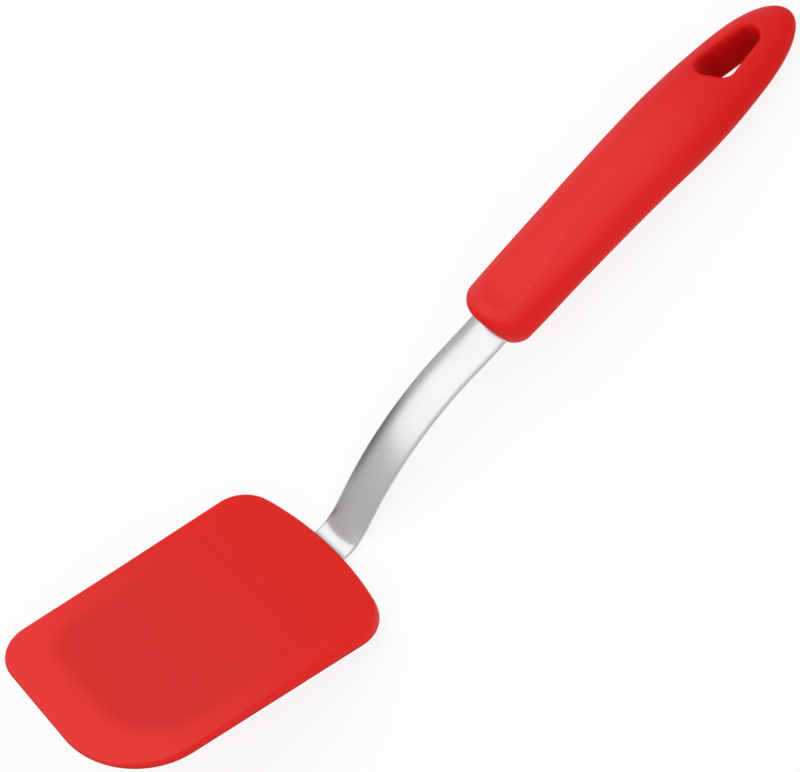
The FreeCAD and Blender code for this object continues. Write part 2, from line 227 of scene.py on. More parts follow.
softbox = panel_light("softbox", softbox_centre, softbox_target, softbox_size, softbox_radiance)
front_fill = panel_light("front_fill", fill_centre, fill_target, fill_size, fill_radiance)
print("lamps:", round(softbox.data.energy, 1), "W above and", round(front_fill.data.energy, 1), "W in front")

# %% [markdown]
# The room needs three more kinds of node: one does sums on directions, one takes a number from one
# range to another, and one mixes two colours. The materials use them as well, so they become helpers
# too. A Mix node repeats the names of its sockets for every kind of value, so its colour sockets are
# found by their numbers.

# %% Helpers for ranges and colours
mix_colour_inputs = (6, 7)
mix_colour_output = 2


def reckon_vectors(tree, operation, first, second):
    """Output of a Vector Math node; scaling takes a number second, and a dot product gives a number."""
    second_input = "Scale" if operation == "SCALE" else 1
    node = add_node(tree, "ShaderNodeVectorMath", {0: first, second_input: second}, operation=operation)
    return node.outputs["Value" if operation == "DOT_PRODUCT" else "Vector"]


def ranged(tree, value, before, after, curve="LINEAR"):
    """Output of a Map Range node that takes a value from one range to another."""
    inputs = {
        "Value": value,
        "From Min": before[0],
        "From Max": before[1],
        "To Min": after[0],
        "To Max": after[1],
    }
    return add_node(tree, "ShaderNodeMapRange", inputs, interpolation_type=curve).outputs[0]


def mix_colours(tree, share, first, second):
    """Output of a Mix node that goes from one colour to another as a share grows from 0 to 1."""
    inputs = {"Factor": share, mix_colour_inputs[0]: first, mix_colour_inputs[1]: second}
    return add_node(tree, "ShaderNodeMix", inputs, data_type="RGBA").outputs[mix_colour_output]


# %% [markdown]
# The room is grey and grows brighter upwards. It shows in the steel below the softbox's white sheet and
# at the neck's edges. A dark screen behind the tool, on its left, draws the grey line along the neck's
# lower left edge. A real screen would cast shade on the floor, so this one is only a dark place in the
# room's own light.

# %% Room
room_low = (0.615, 0.615, 0.615, 1)
room_high = (0.82, 0.82, 0.82, 1)
screen_way = Vector((-0.30, 0.91, 0.27)).normalized()
screen_reach = (0.96, 0.997)
screen_shade = 0.12

room = bpy.data.worlds.new("grey_room")
room.use_nodes = True
tree = room.node_tree
way = add_node(tree, "ShaderNodeTexCoord").outputs["Generated"]
height = add_node(tree, "ShaderNodeSeparateXYZ", {0: way}).outputs["Z"]
shade = mix_colours(tree, height, room_low, room_high)
towards_screen = reckon_vectors(tree, "DOT_PRODUCT", way, screen_way)
screen = ranged(tree, towards_screen, screen_reach, (1.0, screen_shade))
shade = reckon_vectors(tree, "SCALE", shade, screen)
tree.links.new(shade, tree.nodes["Background"].inputs["Color"])
bpy.context.scene.world = room
bpy.context.scene.view_settings.view_transform = "Standard"
print("room: shade", room_low[0], "at the floor's level and", room_high[0], "overhead")

# %% [markdown]
# The neck is one strip of stainless steel with rounded edges. It starts flat inside the blade, bends up
# sharply at the heel, then leans back in a long curve into the handle. A hand-drawn curve would only be
# near those bends, so the path is a walk in which each stretch has a length and a turn.

# %% Walk along the neck
foot_length = 0.036
foot_setback = 0.0012
foot_height = 0.0021
foot_bend_radius = 0.0065
rise_angle = math.radians(55.5)
rise_length = 0.0117
neck_bend_radius = 0.0937
handle_angle = math.radians(25.0)
handle_run = 0.0102
tang_length = 0.066
walk_step = 0.0004

outer_walk = (
    (foot_length - foot_setback, 0.0),
    (foot_bend_radius * rise_angle, rise_angle),
    (rise_length, 0.0),
    (neck_bend_radius * (rise_angle - handle_angle), handle_angle - rise_angle),
    (handle_run, 0.0),
)


def walk(start, heading, stretches):
    """Points along stretches that each have a length and a turn."""
    points = [Vector(start)]
    for length, turn in stretches:
        steps = math.ceil(length / walk_step)
        for step in range(steps):
            middle = heading + turn * (step + 0.5) / steps
            points.append(points[-1] + length / steps * Vector((math.cos(middle), 0, math.sin(middle))))
        heading += turn
    return points


neck_points = walk((-foot_length, 0, foot_height), 0.0, outer_walk)
handle_start = neck_points[-1].copy()
neck_points += walk(handle_start, handle_angle, [(tang_length, 0.0)])[1:]
print("handle starts at", in_mm(handle_start), "mm in the drawing frame")

# %% [markdown]
# Where the strip goes into the handle, its path is lifted a little, so that the steel there doesn't
# mirror the handle's red front. The lift swells and dies away softly, because a step would show as a
# dent. Then the points go into a curve object, since a curve is what Geometry Nodes sweep along.

# %% Path of the neck
entry_lift = 0.00043
entry_reach = 0.003

handle_way = Vector((math.cos(handle_angle), 0, math.sin(handle_angle)))
handle_up = Vector((-math.sin(handle_angle), 0, math.cos(handle_angle)))
for point in neck_points:
    past_entry = (point - handle_start).dot(handle_way) / entry_reach
    point += entry_lift * math.exp(-(past_entry - 1) ** 2 / 2) * handle_up

neck_curve = bpy.data.curves.new("neck_path", "CURVE")
neck_curve.dimensions = "3D"
spline = neck_curve.splines.new("POLY")
spline.points.add(len(neck_points) - 1)
for spline_point, point in zip(spline.points, neck_points):
    spline_point.co = (*point, 1)
neck_path = new_object("neck_path", neck_curve)
print("neck path:", len(neck_points), "points")

# %% [markdown]
# The finishes here come from noise: it varies how rough a surface is, and as the height of a bump it
# gives a grain that is too fine to model. A picture of a grain would show its pixels from close by,
# and noise doesn't. Where a finish has to follow a piece, the piece's mesh stores numbers at its
# points, and an Attribute node reads them.

# %% Helpers for finishes
def noise(tree, place, scale, detail):
    """Output of a noise texture, between 0 and 1."""
    inputs = {"Vector": place, "Scale": scale, "Detail": detail}
    return add_node(tree, "ShaderNodeTexNoise", inputs).outputs["Fac"]


def bumped(tree, height, strength, depth):
    """Output of a Bump node, which lets a height tilt the surface that light sees."""
    inputs = {"Height": height, "Strength": strength, "Distance": depth}
    return add_node(tree, "ShaderNodeBump", inputs).outputs[0]


def stored(tree, name):
    """Output of the number that a mesh holds under a name at each of its points."""
    return add_node(tree, "ShaderNodeAttribute", attribute_name=name).outputs["Fac"]


# %% [markdown]
# Satin steel is scratched along its length by the finishing belt. A pattern on plain coordinates would
# run straight through the bends, so the strip will carry its own measures, along and across, and the
# fine lines follow those. The lines and a slight haze vary how rough the steel is.

# %% Satin steel
steel_colour = (0.57, 0.57, 0.575, 1)
steel_roughness = (0.20, 0.30)
line_stretch = (60, 9000, 1)
line_scale = 1.0
line_detail = 3.0
line_strength = 0.06
line_depth = 0.0001
haze_scale = 90.0
haze_detail = 2.0
haze_range = (0.6, 1.4)


def satin_steel():
    """Stainless steel with fine lines along the strip."""
    material, tree, shader = start_material("satin_steel")
    measures = {"X": stored(tree, "along"), "Y": stored(tree, "across")}
    strip_place = add_node(tree, "ShaderNodeCombineXYZ", measures).outputs[0]
    stretched = reckon_vectors(tree, "MULTIPLY", strip_place, line_stretch)
    lines = noise(tree, stretched, line_scale, line_detail)
    place = add_node(tree, "ShaderNodeTexCoord").outputs["Object"]
    haze = reckon(tree, "ADD", lines, noise(tree, place, haze_scale, haze_detail))
    rough = ranged(tree, haze, haze_range, steel_roughness)
    bump = bumped(tree, lines, line_strength, line_depth)
    shader.inputs["Metallic"].default_value = 1.0
    shader.inputs["Base Color"].default_value = steel_colour
    tree.links.new(rough, shader.inputs["Roughness"])
    tree.links.new(bump, shader.inputs["Normal"])
    return material


steel = satin_steel()
print("material:", steel.name)

# %% [markdown]
# The strip is a section that follows a path, so Geometry Nodes sweep it. A plain sweep keeps the
# section flat, but the real strip takes on a crown where it rises, and grows a little wider. So each
# point of the section keeps how far across it lies, and each point of the path how far along, and one
# Set Position moves them by that.

# %% Path and section of the strip
across_way = (0, 1, 0)
edge_share = 0.49
edge_steps = 6
capture_kinds = {"VALUE": "FLOAT", "VECTOR": "VECTOR"}


def keep(tree, geometry, **values):
    """Outputs of a Capture Attribute node that keeps named values with a geometry."""
    node = add_node(tree, "GeometryNodeCaptureAttribute", {"Geometry": geometry})
    for name, value in values.items():
        node.capture_items.new(capture_kinds[value.type], name)
        tree.links.new(value, node.inputs[name])
    return node.outputs


def strip_path(tree, given):
    """Path in even steps that keeps its length so far and its tangent."""
    inputs = {"Curve": given["Path"], "Length": given["Step"]}
    path = add_node(tree, "GeometryNodeResampleCurve", inputs, mode="LENGTH")
    path = add_node(tree, "GeometryNodeSetCurveNormal", {"Curve": path.outputs[0]}, mode="Z_UP")
    along = add_node(tree, "GeometryNodeSplineParameter").outputs["Length"]
    tangent = add_node(tree, "GeometryNodeInputTangent").outputs[0]
    return keep(tree, path.outputs[0], along=along, tangent=tangent)


def strip_section(tree, given):
    """Bar with round edges whose points keep how far across they lie."""
    sides = {"Width": given["Width"], "Height": given["Thickness"]}
    bar = add_node(tree, "GeometryNodeCurvePrimitiveQuadrilateral", sides)
    round_radius = reckon(tree, "MULTIPLY", given["Thickness"], edge_share)
    inputs = {"Curve": bar.outputs[0], "Count": edge_steps, "Radius": round_radius}
    bar = add_node(tree, "GeometryNodeFilletCurve", inputs, mode="POLY")
    inputs = {"Curve": bar.outputs[0], "Length": given["Section Step"]}
    bar = add_node(tree, "GeometryNodeResampleCurve", inputs, mode="LENGTH")
    position = add_node(tree, "GeometryNodeInputPosition").outputs[0]
    across = add_node(tree, "ShaderNodeSeparateXYZ", {0: position}).outputs["X"]
    return keep(tree, bar.outputs[0], across=across)


# %% [markdown]
# A circle drops by about half the square of the distance across, divided by its radius, and that drop
# is the crown. It grows from nothing between two lengths along the path, and the widening grows from
# the same start. A lattice could bend the strip too, but sums on its own measures follow any path.

# %% Crown and widening of the strip
circle_drop = -0.5


def crown_and_width(tree, given, path, section):
    """How far each point moves: downwards for the crown, and sideways where the strip is wider."""
    up = reckon_vectors(tree, "CROSS_PRODUCT", path["tangent"], across_way)
    crown_stretch = (given["Crown Start"], given["Crown Full"])
    grown = ranged(tree, path["along"], crown_stretch, (0.0, circle_drop), "SMOOTHSTEP")
    square = reckon(tree, "POWER", section["across"], 2.0)
    bent = reckon(tree, "DIVIDE", square, given["Crown Radius"])
    crown = reckon_vectors(tree, "SCALE", up, reckon(tree, "MULTIPLY", bent, grown))
    wide_stretch = (given["Crown Start"], given["Wide Full"])
    widened = ranged(tree, path["along"], wide_stretch, (0.0, given["Widening"]))
    position = add_node(tree, "GeometryNodeInputPosition").outputs[0]
    sideways = reckon_vectors(tree, "MULTIPLY", position, across_way)
    spread = reckon_vectors(tree, "SCALE", sideways, widened)
    return reckon_vectors(tree, "ADD", crown, spread)


# %% [markdown]
# Now the whole tree. Its named inputs are the strip's sizes, so the same tree could make another strip.
# It ends in Realize Instances and Set Material, so that its result is one plain mesh with the steel on
# it.

# %% Geometry Nodes for a crowned strip
strip_sizes = (
    "Width", "Thickness", "Crown Radius", "Crown Start", "Crown Full",
    "Widening", "Wide Full", "Step", "Section Step",
)


def crowned_strip_tree():
    """Node group that sweeps a rounded strip along a curve, crowns it and widens it."""
    tree = bpy.data.node_groups.new("crowned_strip", "GeometryNodeTree")
    tree.interface.new_socket("Path", in_out="INPUT", socket_type="NodeSocketGeometry")
    for name in strip_sizes:
        tree.interface.new_socket(name, in_out="INPUT", socket_type="NodeSocketFloat")
    tree.interface.new_socket("Material", in_out="INPUT", socket_type="NodeSocketMaterial")
    tree.interface.new_socket("Strip", in_out="OUTPUT", socket_type="NodeSocketGeometry")
    given = add_node(tree, "NodeGroupInput").outputs

    path = strip_path(tree, given)
    section = strip_section(tree, given)
    inputs = {"Curve": path["Geometry"], "Profile Curve": section["Geometry"], "Fill Caps": True}
    strip = add_node(tree, "GeometryNodeCurveToMesh", inputs)
    moved = crown_and_width(tree, given, path, section)
    strip = add_node(tree, "GeometryNodeSetPosition", {"Geometry": strip.outputs[0], "Offset": moved})
    for name, source in (("along", path), ("across", section)):
        inputs = {"Geometry": strip.outputs[0], "Name": name, "Value": source[name]}
        strip = add_node(tree, "GeometryNodeStoreNamedAttribute", inputs)
    strip = add_node(tree, "GeometryNodeRealizeInstances", {"Geometry": strip.outputs[0]})
    inputs = {"Geometry": strip.outputs[0], "Material": given["Material"]}
    strip = add_node(tree, "GeometryNodeSetMaterial", inputs)
    result = add_node(tree, "NodeGroupOutput")
    tree.links.new(strip.outputs[0], result.inputs["Strip"])
    return tree


strip_tree = crowned_strip_tree()
print("node group:", strip_tree.name, "with", len(strip_tree.nodes), "nodes")

# %% [markdown]
# Now the tree runs on the path with the strip's real sizes. The crown starts inside the sharp bend and
# is full partway up the rise. The modifier's result is copied to a plain mesh, because the finished
# piece carries none.

# %% Neck strip
strip_width = 0.0133
strip_widening = 0.06
strip_thickness = 0.0012
strip_crown_radius = 0.018
strip_step = 0.0008
section_step = 0.00025
crown_bend_share = 0.3
crown_rise_share = 0.45


def grow(name, source, tree, values):
    """Runs a node group on an object with named inputs and returns the result as a plain mesh object."""
    modifier = source.modifiers.new(tree.name, "NODES")
    modifier.node_group = tree
    for item in tree.interface.items_tree:
        if item.item_type == "SOCKET" and item.in_out == "INPUT" and item.name in values:
            modifier[item.identifier] = values[item.name]
    evaluated = source.evaluated_get(bpy.context.evaluated_depsgraph_get())
    mesh = bpy.data.meshes.new_from_object(evaluated)
    source.modifiers.remove(modifier)
    return new_object(name, mesh)


bend_start = foot_length - foot_setback
bend_length = foot_bend_radius * rise_angle
neck = grow("steel_neck", neck_path, strip_tree, {
    "Width": strip_width,
    "Thickness": strip_thickness,
    "Crown Radius": strip_crown_radius,
    "Crown Start": bend_start + crown_bend_share * bend_length,
    "Crown Full": bend_start + bend_length + crown_rise_share * rise_length,
    "Widening": strip_widening,
    "Wide Full": sum(length for length, turn in outer_walk),
    "Step": strip_step,
    "Section Step": section_step,
    "Material": steel,
})
bpy.data.objects.remove(neck_path)
neck.data.transform(lay_down)
neck.data.shade_smooth()
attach(neck, "root")
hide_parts("neck_strip")
print("steel neck:", len(neck.data.polygons), "faces")

# %% [markdown]
# The red pieces are matte: a silicone blade, and a soft-touch skin on the handle. One flat colour would
# look like paint, so both start from the same rubber: a very fine grain in its bump, and slow clouds of
# noise that make it a little smoother or rougher, and a little paler, from place to place.

# %% Matte rubber
cloud_scale = 55.0
cloud_detail = 3.0
cloud_range = (0.3, 0.7)
cloud_paler = 1.06
grain_detail = 2.0
grain_strength = 0.12
grain_depth = 0.00005


def matte_rubber(name, colour, gloss, grain_scale, roughness):
    """Matte rubber with a fine grain; returns the material, its tree, its shader and its cloudy colour."""
    material, tree, shader = start_material(name)
    place = add_node(tree, "ShaderNodeTexCoord").outputs["Object"]
    cloudy = noise(tree, place, cloud_scale, cloud_detail)
    rough = ranged(tree, cloudy, cloud_range, roughness)
    grain = noise(tree, place, grain_scale, grain_detail)
    bump = bumped(tree, grain, grain_strength, grain_depth)
    paler = tuple(cloud_paler * part for part in colour[:3]) + (1,)
    tone = mix_colours(tree, cloudy, colour, paler)
    shader.inputs["Specular IOR Level"].default_value = gloss
    tree.links.new(tone, shader.inputs["Base Color"])
    tree.links.new(rough, shader.inputs["Roughness"])
    tree.links.new(bump, shader.inputs["Normal"])
    return material, tree, shader, tone


# %% [markdown]
# The blade's silicone is duller towards the front. Its thin lip and its sides are painted paler, as painted
# light that comes through the silicone, and its lower edge is painted darker, as painted shade. A picture
# could be painted on it, but numbers stored on the mesh fit any size: each of them mixes in one more red.
# They are measured further on, when the blade is there.

# %% Red silicone
silicone_red = (0.70, 0.008, 0.003, 1)
silicone_reds = {
    "ahead": (0.655, 0.016, 0.012, 1),
    # painted light: paler where light would come through the thin lip
    "painted_lip_light": (0.785, 0.028, 0.027, 1),
    # painted light: paler on the sides, as if lit through the silicone
    "side": (0.805, 0.0078, 0.005, 1),
    # painted shade: darker along the lower edge
    "low": (0.50, 0.012, 0.010, 1),
}
silicone_gloss = 0.25
silicone_grain = 2600.0
silicone_roughness = (0.50, 0.60)


def red_silicone():
    """Silicone of the blade, duller ahead, with painted light and painted shade where the mesh says so."""
    material, tree, shader, colour = matte_rubber(
        "red_silicone", silicone_red, silicone_gloss, silicone_grain, silicone_roughness,
    )
    for name, red in silicone_reds.items():
        # the lip and side reds are painted light, and the low red is painted shade
        colour = mix_colours(tree, stored(tree, name), colour, red)
    tree.links.new(colour, shader.inputs["Base Color"])
    return material


silicone = red_silicone()
print("material:", silicone.name, "with a red for", ", ".join(silicone_reds))

# %% [markdown]
# The handle's skin has a soft sheen on its top, where the palm rubs it, a little on the near side, and
# none on the far side. A deeper red is painted in the hang hole and towards the tail as painted shade.
# Again two numbers on the mesh say where.

# %% Red skin
skin_red = (0.745, 0.014, 0.014, 1)
# painted shade: the deeper red of the hang hole and the tail
skin_painted_shade_red = (0.63, 0.005, 0.006, 1)
skin_gloss = 0.28
skin_sheen = (0.03, 0.31)
skin_grain = 3200.0
skin_roughness = (0.48, 0.56)


def red_skin():
    """Soft skin of the handle, glossier where it is worn, with painted shade as a deeper red where marked.
    """
    material, tree, shader, tone = matte_rubber(
        "red_soft_skin", skin_red, skin_gloss, skin_grain, skin_roughness,
    )
    # painted shade: a deeper red in the hang hole and at the tail
    colour = mix_colours(tree, stored(tree, "painted_shade"), tone, skin_painted_shade_red)
    sheen = ranged(tree, stored(tree, "worn"), (0.0, 1.0), skin_sheen)
    tree.links.new(colour, shader.inputs["Base Color"])
    tree.links.new(sheen, shader.inputs["Specular IOR Level"])
    return material


skin = red_skin()
print("material:", skin.name)

# %% [markdown]
# The blade is one silicone moulding round a thin steel plate. Its outline has a bowed heel, straight
# sides, a slanted front and a much rounder right front corner. Subdividing a box would lose these
# corners, so the outline is put together from lines and arcs that touch each other, and then spread
# into even steps.

# %% Lines and arcs
arc_points = 40
outline_points = 150


def unit(vector):
    """A vector brought to length one."""
    return vector / np.linalg.norm(vector)


def turned_left(vector):
    """A plane vector turned a quarter turn to the left."""
    return np.array([-vector[1], vector[0]])


def arc_stretch(centre, radius, start, end):
    """Points on an arc from one angle to another, with their normals towards its centre."""
    turns = np.linspace(start, end, arc_points)[:, None]
    outward = np.hstack([np.cos(turns), np.sin(turns)])
    return centre + radius * outward, -outward


def corner_arc(centre, radius, touch_before, touch_after):
    """Arc round a corner between two points that it touches."""
    start = math.atan2(*(touch_before - centre)[::-1])
    end = math.atan2(*(touch_after - centre)[::-1])
    turn = (end - start + math.pi) % (2 * math.pi) - math.pi
    return arc_stretch(centre, radius, start, start + turn)


def straight(start, end, normal):
    """Both ends of a straight stretch, with its normal at each."""
    return np.array([start, end]), np.array([normal, normal])


def evenly_spread(points, normals):
    """Points at even steps along a line, with unit normals."""
    measure = np.concatenate([[0], np.cumsum(np.linalg.norm(np.diff(points, axis=0), axis=1))])
    even = np.linspace(0, measure[-1], outline_points)
    points = np.column_stack([np.interp(even, measure, column) for column in points.T])
    normals = np.column_stack([np.interp(even, measure, column) for column in normals.T])
    return points, normals / np.linalg.norm(normals, axis=1)[:, None]


# %% [markdown]
# Each corner is a round that touches both of its neighbours: the bowed heel and a side, or a side and
# the front. A bevel would round the corner where two straight edges meet, but the heel is an arc. So
# the places where a round touches are worked out, and every radius can be changed by itself.

# %% Rounds at the corners of the blade
blade_bow_radius = 0.100
heel_corner_radius = 0.012
bow_centre = np.array([-blade_bow_radius, 0.0])


def heel_round(corner, down_side, side_normal):
    """Centre of the round between the bowed heel and a side, and the points where it touches them."""
    from_bow = corner + heel_corner_radius * side_normal - bow_centre
    reach = blade_bow_radius - heel_corner_radius
    slope = from_bow @ down_side
    back = -slope - math.sqrt(slope ** 2 - from_bow @ from_bow + reach ** 2)
    centre = bow_centre + from_bow + back * down_side
    heel_touch = bow_centre + blade_bow_radius * unit(centre - bow_centre)
    return centre, heel_touch, centre - heel_corner_radius * side_normal


def front_round(corner, radius, down_side, side_normal, along_front):
    """Centre of the round between a side and the front, and the points where it touches them."""
    opening = math.acos(-down_side @ along_front)
    setback = radius / math.tan(opening / 2)
    side_touch = corner - setback * down_side
    return side_touch + radius * side_normal, side_touch, corner + setback * along_front


# %% [markdown]
# Each half of the outline runs from the middle of the heel, round the heel's corner, down the side and
# round the front corner to the middle of the front. The halves differ in the radius of the front
# corner, so one function makes both.

# %% Outline of the blade
blade_length = 0.09695
blade_heel_width = 0.0662
blade_front_width = 0.0641
blade_slant = math.radians(3.8)
left_corner_radius = 0.0115
right_corner_radius = 0.0245


def half_outline(side, front_radius):
    """Half of the outline, from the middle of the heel to the middle of the front, with inward normals."""
    heel_half = blade_heel_width / 2
    front_half = blade_front_width / 2
    bow = blade_bow_radius - math.sqrt(blade_bow_radius ** 2 - heel_half ** 2)
    heel_corner = np.array([-bow, side * heel_half])
    front_corner = np.array([-blade_length + side * front_half * math.tan(blade_slant), side * front_half])
    front_middle = np.array([-blade_length, 0.0])
    down_side = unit(front_corner - heel_corner)
    along_front = unit(front_middle - front_corner)
    side_normal = side * turned_left(down_side)
    front_normal = side * turned_left(along_front)

    heel_centre, heel_touch, side_start = heel_round(heel_corner, down_side, side_normal)
    front_centre, side_end, front_touch = front_round(
        front_corner, front_radius, down_side, side_normal, along_front,
    )
    bow_turn = math.atan2(*(heel_touch - bow_centre)[::-1])
    stretches = (
        arc_stretch(bow_centre, blade_bow_radius, 0.0, bow_turn),
        corner_arc(heel_centre, heel_corner_radius, heel_touch, side_start),
        straight(side_start, side_end, side_normal),
        corner_arc(front_centre, front_radius, side_end, front_touch),
        straight(front_touch, front_middle, front_normal),
    )
    points, normals = zip(*stretches)
    return evenly_spread(np.vstack(points), np.vstack(normals))


left_points, left_normals = half_outline(1, left_corner_radius)
right_points, right_normals = half_outline(-1, right_corner_radius)
blade_width = left_points[:, 1].max() - right_points[:, 1].min()
print("blade outline:", 2 * outline_points, "points,", *in_mm([blade_width]), "mm at its widest")

# %% [markdown]
# A smooth curve through a few stations is needed for the blade's wedge and again for the handle's
# sections. Straight lines between stations would leave kinks. So it is a cubic between each two
# stations that takes its slopes from the neighbours on both sides. A soft step, from 0 to 1, serves for
# all that fades.

# %% Smooth curves
def smooth_through(stations, values, places):
    """Value at each place on a smooth curve through the values at the stations."""
    stations = np.asarray(stations, float)
    values = np.asarray(values, float)
    slopes = np.gradient(values, stations)
    index = np.clip(np.searchsorted(stations, places) - 1, 0, len(stations) - 2)
    gap = stations[index + 1] - stations[index]
    t = np.clip((places - stations[index]) / gap, 0, 1)
    rise = values[index] * (2 * t ** 3 - 3 * t ** 2 + 1) + values[index + 1] * (3 * t ** 2 - 2 * t ** 3)
    return rise + gap * (slopes[index] * (t ** 3 - 2 * t ** 2 + t) + slopes[index + 1] * (t ** 3 - t ** 2))


def smooth_step(low, high, value):
    """Soft change from 0 to 1 between two values."""
    t = np.clip((value - low) / (high - low), 0, 1)
    return t * t * (3 - 2 * t)


# %% [markdown]
# In section the blade is a wedge, thick at the heel and thin at the lip. A straight taper would be too
# thin just behind the lip, so the thickness is given at a few stations along the blade. Two of them lie
# past its ends, which keeps the curve smooth right up to the edge.

# %% Wedge of the blade
wedge_stations = (
    (-0.08, 0.0052),
    (0.0, 0.0049),
    (0.3, 0.0038),
    (0.6, 0.0027),
    (0.86, 0.0023),
    (1.0, 0.0015),
    (1.08, 0.0010),
)
wedge_shares, wedge_thicknesses = zip(*wedge_stations)


def wedge(x):
    """Thickness of the blade at a distance along it."""
    return smooth_through(wedge_shares, wedge_thicknesses, -x / blade_length)


blade_ends = np.array([0.0, -blade_length])
print("blade thickness at the heel and at the lip:", in_mm(wedge(blade_ends)), "mm")

# %% [markdown]
# The blade's shoulders are soft, and its lower edge is a small round. The mesh is laid out by rule:
# rings follow the outline from the inner edge of the shoulder, over the side, to the underside, and
# straight rows from left to right close the top and the bottom.

# %% Rings and rows of the blade
shoulder_share = 0.35
side_draft_share = 0.09
edge_radius = 0.0005
shoulder_rings = 14
edge_rings = 6
row_columns = 40


def blade_rings():
    """Rings of points from the inner edge of the shoulder over the side to the underside."""
    points = np.vstack([left_points, right_points[-2:0:-1]])
    normals = np.vstack([left_normals, right_normals[-2:0:-1]])
    thickness = wedge(points[:, 0])
    rings = []
    for turn in np.linspace(math.pi / 2, 0, shoulder_rings):
        inset = thickness * (shoulder_share * (1 - math.cos(turn)) + side_draft_share * math.sin(turn))
        plan = points + normals * inset[:, None]
        height = edge_radius + (wedge(plan[:, 0]) - edge_radius) * math.sin(turn)
        rings.append(np.column_stack([plan, height]))
    for turn in np.linspace(0, math.pi / 2, edge_rings)[1:]:
        plan = points + normals * edge_radius * (1 - math.cos(turn))
        rings.append(np.column_stack([plan, np.full(len(plan), edge_radius * (1 - math.sin(turn)))]))
    return rings


def rows_across(ring, height):
    """Grid of points that closes a ring, in straight rows from its left half to its right half."""
    left = ring[:outline_points, :2]
    right = np.vstack([ring[:1, :2], ring[:outline_points - 2:-1, :2]])
    shares = np.linspace(0, 1, row_columns)[None, :, None]
    plan = (left[:, None, :] * (1 - shares) + right[:, None, :] * shares).reshape(-1, 2)
    return np.column_stack([plan, height(plan[:, 0])])


rings = blade_rings()
top = rows_across(rings[0], wedge)
bottom = rows_across(rings[-1], np.zeros_like)
print("blade:", len(rings), "rings of", len(rings[0]), "points, and", 2 * outline_points, "rows")

# %% [markdown]
# Rings and rows become faces, four points at a time. The rows repeat the points of the rings that they
# meet, so doubles are merged, and then all faces are turned outwards, because an open edge or a face
# turned inside out would show in the mesh.

# %% Blade
merge_distance = 1e-7


def quads(rows, columns, start, closed):
    """Faces of a grid of points, row by row; a closed grid joins its last column to its first."""
    last = columns if closed else columns - 1
    faces = []
    for row in range(rows - 1):
        here = start + row * columns
        for column in range(last):
            after = (column + 1) % columns
            faces.append((here + column, here + after, here + columns + after, here + columns + column))
    return faces


def mesh_piece(name, points, faces, material):
    """A smooth mesh object, with doubles merged and faces turned outwards, in the frame of its points."""
    mesh = bpy.data.meshes.new(name)
    mesh.from_pydata([tuple(point) for point in points], [], faces)
    work = bmesh.new()
    work.from_mesh(mesh)
    bmesh.ops.remove_doubles(work, verts=work.verts, dist=merge_distance)
    bmesh.ops.recalc_face_normals(work, faces=work.faces)
    work.to_mesh(mesh)
    work.free()
    mesh.shade_smooth()
    mesh.materials.append(material)
    return new_object(name, mesh)


belt = np.vstack(rings)
blade_faces = quads(len(rings), len(rings[0]), 0, True)
blade_faces += quads(outline_points, row_columns, len(belt), False)
blade_faces += quads(outline_points, row_columns, len(belt) + len(top), False)
blade = mesh_piece("silicone_blade", np.vstack([belt, top, bottom]), blade_faces, silicone)
print("silicone blade:", len(blade.data.polygons), "faces")

# %% [markdown]
# The lip beyond the steel plate is thin, so light comes through it, and that light is painted on as a
# paler red. A second material on its faces would give it a hard border. So how far each point lies
# outside the plate is measured, and kept on the mesh for the silicone's material to read.

# %% Painted light on the thin lip of the blade
plate_front_inset = 0.0125
plate_side_inset = 0.0070
plate_left_radius = 0.010
plate_right_radius = 0.020
lip_blur = 0.0035
lip_fade = (0.030, 0.085)


def store(piece, name, values):
    """Keeps one number for each point of a piece under a name that its material reads."""
    attribute = piece.data.attributes.new(name, "FLOAT", "POINT")
    attribute.data.foreach_set("value", values.astype(np.float32))


def from_long_side(points):
    """Distance of each point from the nearer long side of the blade."""
    share = np.clip(-points[:, 0] / blade_length, 0, 1)
    return (blade_heel_width * (1 - share) + blade_front_width * share) / 2 - np.abs(points[:, 1])


def thinness(points):
    """Share of painted light on the thin silicone: 0 over the plate and at the heel, 1 on the front lip."""
    x, y = points[:, 0], points[:, 1]
    from_front = (x + blade_length - y * math.tan(blade_slant)) * math.cos(blade_slant)
    radius = np.where(y > 0, plate_left_radius, plate_right_radius)
    over_front = plate_front_inset - from_front + radius
    over_side = plate_side_inset - from_long_side(points) + radius
    outside = np.hypot(np.maximum(over_front, 0), np.maximum(over_side, 0)) - radius
    return smooth_step(-lip_blur, lip_blur, outside) * smooth_step(*lip_fade, -x)


blade_points = np.array([vertex.co for vertex in blade.data.vertices])
painted_lip_light = thinness(blade_points)
# painted light: the paler red of the thin lip
store(blade, "painted_lip_light", painted_lip_light)
print("thin share of the blade:", round(float(np.mean(painted_lip_light)), 2))

# %% [markdown]
# The sides have no plate behind them either, so light comes through there too, and it is painted on as a
# paler red. A second number is full where a point faces sideways, and fades inwards over the top. A third
# marks the lower edge, which is painted darker as painted shade, and a fourth the way to the front. Then
# the blade is laid on the table.

# %% Painted light on the sides and painted shade on the lower edge of the blade
front_fade = (0.005, 0.060)
side_facing = (0.15, 0.85)
side_band = (0.0090, 0.0010)
side_top_light_share = 0.40
painted_edge_shade = (0.0012, 0.0005)

blade_facing = np.array([vertex.normal for vertex in blade.data.vertices])
side_wall_light = smooth_step(*side_facing, np.abs(blade_facing[:, 1]))
side_top_light = smooth_step(*side_band, from_long_side(blade_points)) * (1 - painted_lip_light)
outward = np.hypot(blade_facing[:, 0], blade_facing[:, 1])
store(blade, "ahead", smooth_step(*front_fade, -blade_points[:, 0]))
# painted light: the sides are painted paler, as if lit through the silicone
store(blade, "side", np.maximum(side_wall_light, side_top_light_share * side_top_light))
